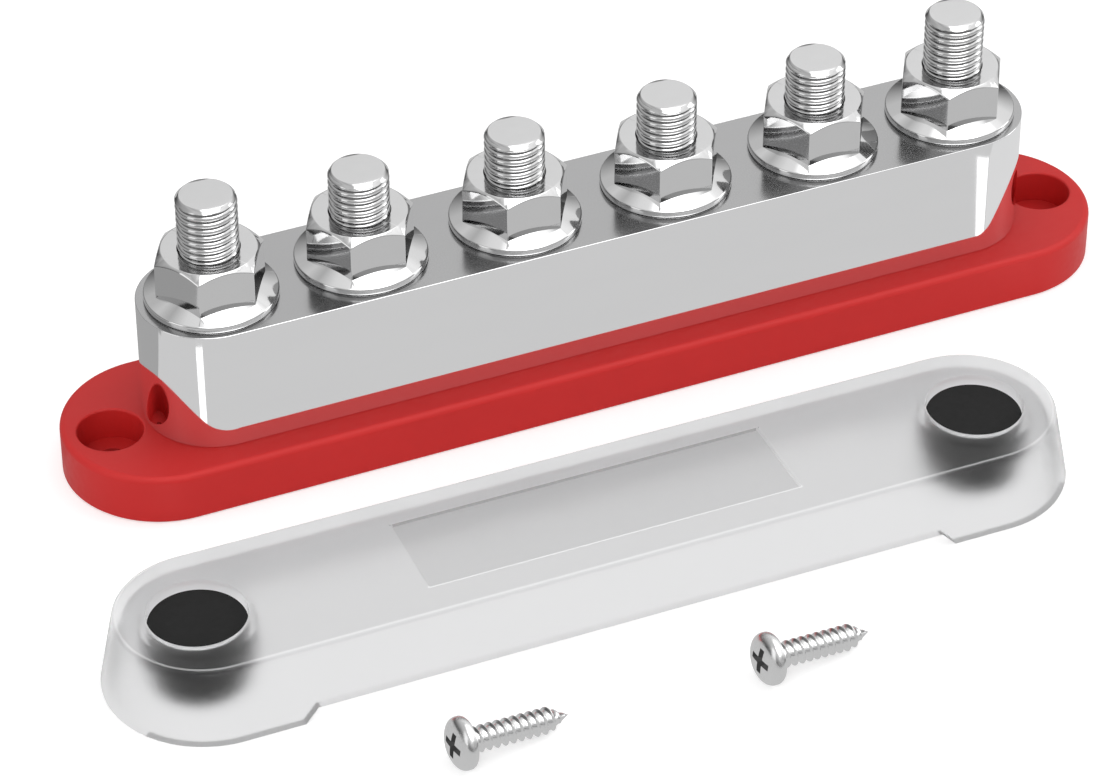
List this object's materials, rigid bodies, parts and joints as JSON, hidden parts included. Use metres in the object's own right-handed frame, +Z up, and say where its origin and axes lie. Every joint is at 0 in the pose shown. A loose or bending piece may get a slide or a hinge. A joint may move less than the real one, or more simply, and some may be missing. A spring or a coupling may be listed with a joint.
{
  "type": "bus bar",
  "caption": "Solid metal bus bar on a red insulating base, with threaded studs and flange nuts; its clear cover and mounting screws lie in front.",
  "frame": {"origin": "middle of the base's underside", "axes": "+X along the bar, +Y from the cover towards the base, +Z up along the studs"},
  "size_m": [0.1968, 0.1095, 0.0501],
  "materials": {
    "red_plastic": "satin moulded",
    "plated_bar": "polished tin plating",
    "stainless": "machined stainless steel",
    "clear_plastic": "clear, slightly frosted",
    "black_rubber": "satin"
  },
  "bodies": {
    "bar_assembly": {"base": "red_plastic", "bus_bar": "plated_bar", "stud_1": "stainless", "stud_2": "stainless", "stud_3": "stainless", "stud_4": "stainless", "stud_5": "stainless", "stud_6": "stainless", "fixing_screw_left": "stainless", "fixing_screw_right": "stainless", "cover": "clear_plastic", "stud_socket_left": "black_rubber", "stud_socket_right": "black_rubber", "mounting_screw_left": "stainless", "mounting_screw_right": "stainless"},
    "clamp_nut_1": {"clamp_nut_1": "stainless"},
    "clamp_nut_2": {"clamp_nut_2": "stainless"},
    "clamp_nut_3": {"clamp_nut_3": "stainless"},
    "clamp_nut_4": {"clamp_nut_4": "stainless"},
    "clamp_nut_5": {"clamp_nut_5": "stainless"},
    "clamp_nut_6": {"clamp_nut_6": "stainless"}
  },
  "joints": [
    {"name": "clamp_nut_1_lift", "type": "slide", "parent": "bar_assembly", "child": "clamp_nut_1", "axis": [0, 0, 1], "range_m": [0, 0.017]},
    {"name": "clamp_nut_2_lift", "type": "slide", "parent": "bar_assembly", "child": "clamp_nut_2", "axis": [0, 0, 1], "range_m": [0, 0.015]},
    {"name": "clamp_nut_3_lift", "type": "slide", "parent": "bar_assembly", "child": "clamp_nut_3", "axis": [0, 0, 1], "range_m": [0, 0.015]},
    {"name": "clamp_nut_4_lift", "type": "slide", "parent": "bar_assembly", "child": "clamp_nut_4", "axis": [0, 0, 1], "range_m": [0, 0.015]},
    {"name": "clamp_nut_5_lift", "type": "slide", "parent": "bar_assembly", "child": "clamp_nut_5", "axis": [0, 0, 1], "range_m": [0, 0.015]},
    {"name": "clamp_nut_6_lift", "type": "slide", "parent": "bar_assembly", "child": "clamp_nut_6", "axis": [0, 0, 1], "range_m": [0, 0.017]}
  ]
}
